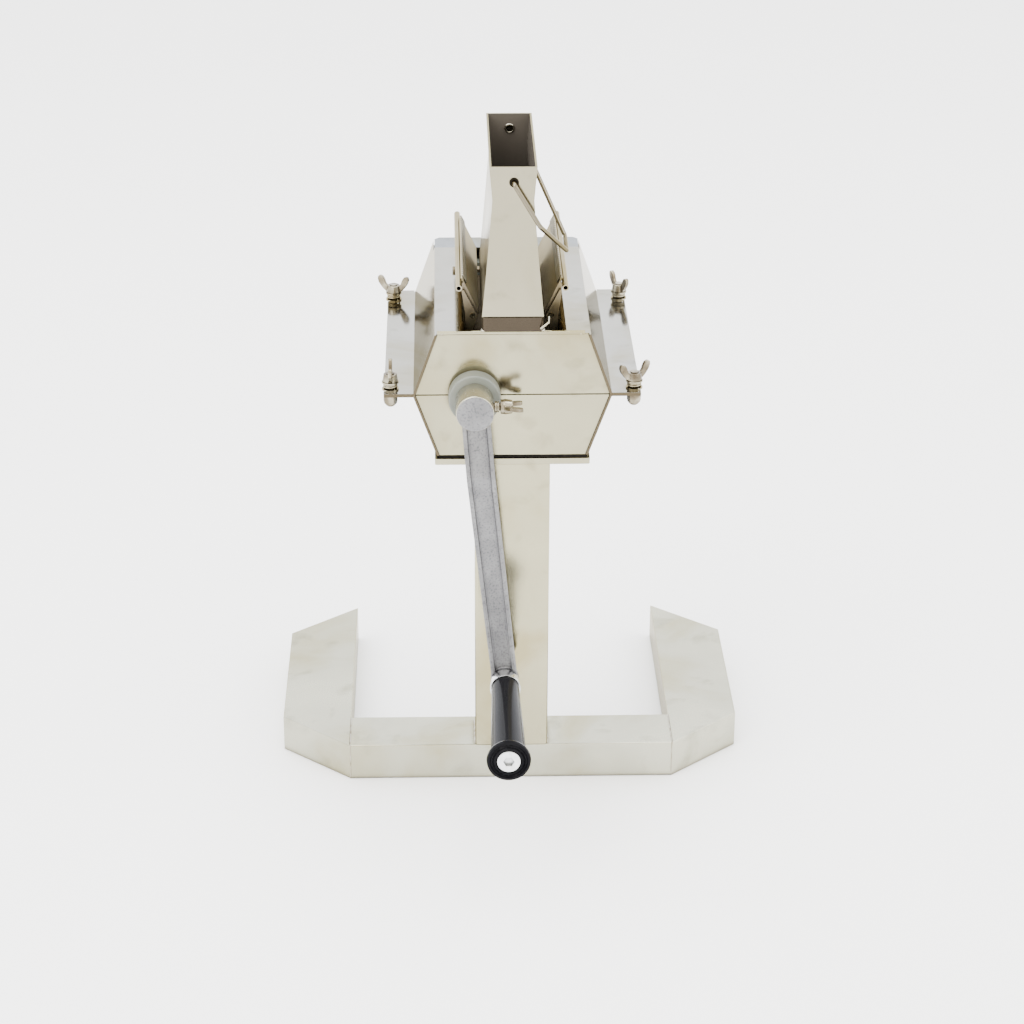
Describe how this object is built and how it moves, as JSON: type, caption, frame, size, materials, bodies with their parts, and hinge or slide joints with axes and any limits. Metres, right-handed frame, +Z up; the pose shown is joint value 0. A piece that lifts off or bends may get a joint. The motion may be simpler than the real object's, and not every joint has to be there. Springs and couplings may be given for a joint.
{
  "type": "hand-cranked honeycomb press",
  "caption": "Hand-cranked stainless honeycomb press: geared rollers in a split clamped housing with a lift-out hopper, on a column over an open base for a bowl.",
  "frame": {"origin": "centre of the front bar's underside, on the table", "axes": "+Z up; the crank side faces -Y; the base's mouth opens towards +Y"},
  "size_m": [0.3852, 0.4143, 0.5335],
  "materials": {
    "stainless_sheet": "polished stainless sheet with faint grinding marks",
    "stainless_hardware": "bright stainless wire and fasteners",
    "turned_steel": "turned and milled stainless",
    "white_plastic": "natural white food-grade plastic",
    "roller_plastic": "natural white plastic with round flutes",
    "gasket_rubber": "dark sealing pad",
    "cast_aluminium": "sand-cast with ground ribs",
    "grip_black": "turned glossy black",
    "bright_screw": "bright plated steel"
  },
  "bodies": {
    "stand": {"base_front_bar": "stainless_sheet", "base_left_outrigger": "stainless_sheet", "base_right_outrigger": "stainless_sheet", "clamp_bolts": "stainless_hardware", "clamp_springs": "stainless_hardware", "clamp_washers": "stainless_hardware", "collar": "stainless_sheet", "collar_cross_bar": "stainless_sheet", "column": "stainless_sheet", "front_bearing_plate": "white_plastic", "front_bush": "white_plastic", "front_lip": "stainless_sheet", "guide_brackets": "stainless_sheet", "guide_pins": "stainless_hardware", "hopper_clip": "stainless_hardware", "left_scraper": "stainless_hardware", "lower_floor": "stainless_sheet", "lower_front_plate": "stainless_sheet", "lower_left_shell": "stainless_sheet", "lower_rear_plate": "stainless_sheet", "lower_right_shell": "stainless_sheet", "mount_gasket": "gasket_rubber", "mounting_bolts": "stainless_hardware", "mounting_nuts": "stainless_hardware", "mounting_plate": "stainless_sheet", "rear_bearing_plate": "white_plastic", "rear_cross_strip": "stainless_sheet", "right_scraper": "stainless_hardware", "upper_front_plate": "stainless_sheet", "upper_left_shell": "stainless_sheet", "upper_rear_plate": "stainless_sheet", "upper_right_shell": "stainless_sheet"},
    "crank": {"crank_shaft": "turned_steel", "left_roller": "roller_plastic", "drive_gear": "turned_steel", "drive_gear_ring": "stainless_hardware", "crank_arm": "cast_aluminium", "grip_bolt": "bright_screw", "grip_ring": "bright_screw"},
    "hub_screw": {"hub_wing_screw": "stainless_hardware"},
    "grip": {"grip": "grip_black"},
    "second_roller": {"right_shaft": "turned_steel", "right_roller": "roller_plastic", "driven_gear": "turned_steel", "driven_gear_ring": "stainless_hardware"},
    "hopper": {"hopper": "stainless_sheet", "pivot_eyelets": "stainless_hardware"},
    "bail": {"bail": "stainless_hardware"},
    "left_guide": {"left_guide_plate": "stainless_sheet", "left_guide_rod": "stainless_hardware", "left_comb_strip": "stainless_hardware", "left_guide_straps": "stainless_sheet"},
    "right_guide": {"right_guide_plate": "stainless_sheet", "right_guide_rod": "stainless_hardware", "right_comb_strip": "stainless_hardware", "right_guide_straps": "stainless_sheet"},
    "nut_front_left": {"wing_nut_front_left": "stainless_hardware"},
    "nut_front_right": {"wing_nut_front_right": "stainless_hardware"},
    "nut_rear_left": {"wing_nut_rear_left": "stainless_hardware"},
    "nut_rear_right": {"wing_nut_rear_right": "stainless_hardware"}
  },
  "joints": [
    {"name": "crank_spin", "type": "hinge", "parent": "stand", "child": "crank", "pos_m": [-0.03, -0.024, 0.3477], "axis": [0, 1, 0], "continuous": true},
    {"name": "second_roller_spin", "type": "hinge", "parent": "stand", "child": "second_roller", "pos_m": [0.03, -0.024, 0.3477], "axis": [0, 1, 0], "continuous": true},
    {"name": "grip_spin", "type": "hinge", "parent": "crank", "child": "grip", "pos_m": [-0.0064, -0.124, 0.1116], "axis": [0, 1, 0], "continuous": true},
    {"name": "hub_screw_turn", "type": "hinge", "parent": "crank", "child": "hub_screw", "pos_m": [-0.011, -0.047, 0.3477], "axis": [1, 0, 0], "range_deg": [0, 360]},
    {"name": "hopper_lift", "type": "slide", "parent": "stand", "child": "hopper", "axis": [0, 0, 1], "range_m": [0, 0.06]},
    {"name": "bail_swing", "type": "hinge", "parent": "hopper", "child": "bail", "pos_m": [0.0005, 0.047, 0.5215], "axis": [0, -1, 0], "range_deg": [0, 299]},
    {"name": "left_guide_fold", "type": "hinge", "parent": "stand", "child": "left_guide", "pos_m": [-0.031, 0.0885, 0.401], "axis": [0, 1, 0], "range_deg": [0, 15]},
    {"name": "right_guide_fold", "type": "hinge", "parent": "stand", "child": "right_guide", "pos_m": [0.031, 0.0885, 0.401], "axis": [0, -1, 0], "range_deg": [0, 15]},
    {"name": "nut_front_left_turn", "type": "hinge", "parent": "stand", "child": "nut_front_left", "pos_m": [-0.096, -0.014, 0.362], "axis": [0, 0, 1], "range_deg": [0, 360]},
    {"name": "nut_front_right_turn", "type": "hinge", "parent": "stand", "child": "nut_front_right", "pos_m": [0.096, -0.014, 0.362], "axis": [0, 0, 1], "range_deg": [0, 360]},
    {"name": "nut_rear_left_turn", "type": "hinge", "parent": "stand", "child": "nut_rear_left", "pos_m": [-0.096, 0.184, 0.362], "axis": [0, 0, 1], "range_deg": [0, 360]},
    {"name": "nut_rear_right_turn", "type": "hinge", "parent": "stand", "child": "nut_rear_right", "pos_m": [0.096, 0.184, 0.362], "axis": [0, 0, 1], "range_deg": [0, 360]}
  ],
  "couplings": [
    {"joint": "second_roller_spin", "follows": "crank_spin", "ratio": -1}
  ]
}
